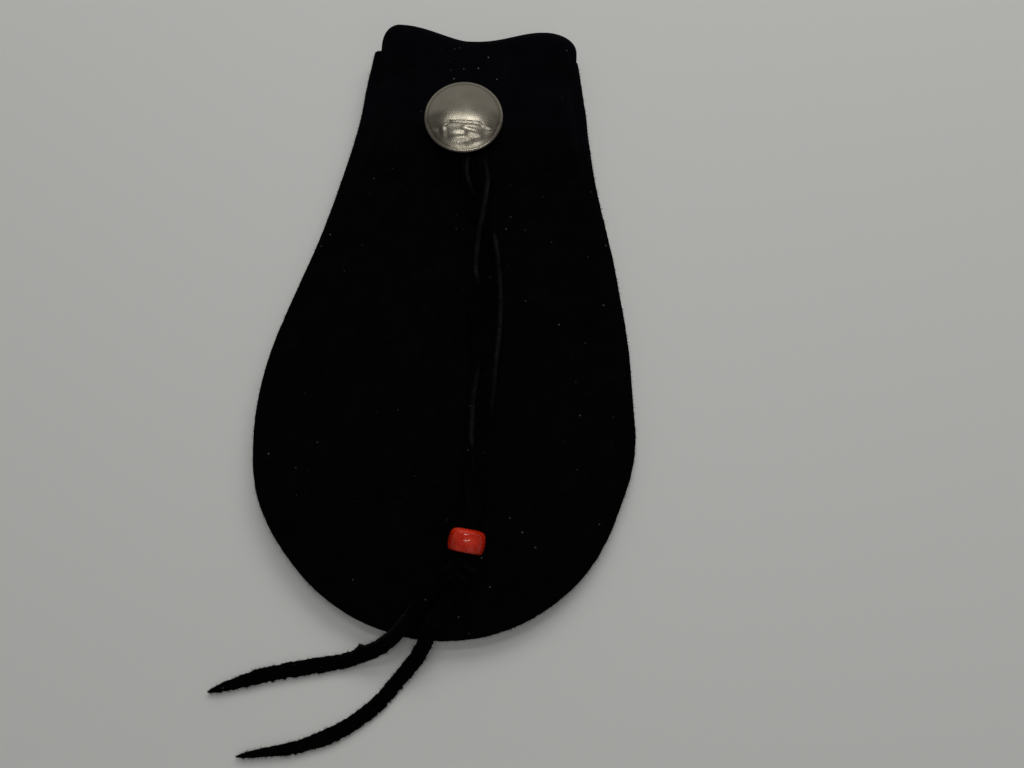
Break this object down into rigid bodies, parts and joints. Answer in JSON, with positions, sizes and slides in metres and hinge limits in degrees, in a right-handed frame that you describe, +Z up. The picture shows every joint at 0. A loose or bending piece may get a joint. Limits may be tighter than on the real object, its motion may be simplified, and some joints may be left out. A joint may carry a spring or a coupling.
{
  "type": "medicine pouch",
  "caption": "Flat pear-shaped suede pouch, neck folded over as a flap, domed coin on a snap, doubled lace with a barrel bead, a knot and pointed tails.",
  "frame": {"origin": "under the middle of the pouch, on the surface that it lies on", "axes": "+Y towards the fold at the top of the neck, +X to the right seen from the front, +Z up out of the front"},
  "size_m": [0.1021, 0.1966, 0.0157],
  "materials": {
    "black_suede": "matt napped suede",
    "black_lace": "matt napped suede lace",
    "black_thread": "twisted sewing thread",
    "worn_nickel": "worn, darkened in the low places",
    "snap_metal": "plain pressed metal",
    "red_bead": "glossy opaque"
  },
  "bodies": {
    "root": {"back_and_flap": "black_suede", "front_panel": "black_suede", "seam_thread": "black_thread", "coin": "worn_nickel", "snap_cap": "snap_metal", "snap_socket": "snap_metal", "snap_stud": "snap_metal", "snap_eyelet": "snap_metal", "lace_loop": "black_lace", "lace_knot": "black_lace", "lace_tail_left": "black_lace", "lace_tail_right": "black_lace", "bead": "red_bead"}
  },
  "joints": []
}
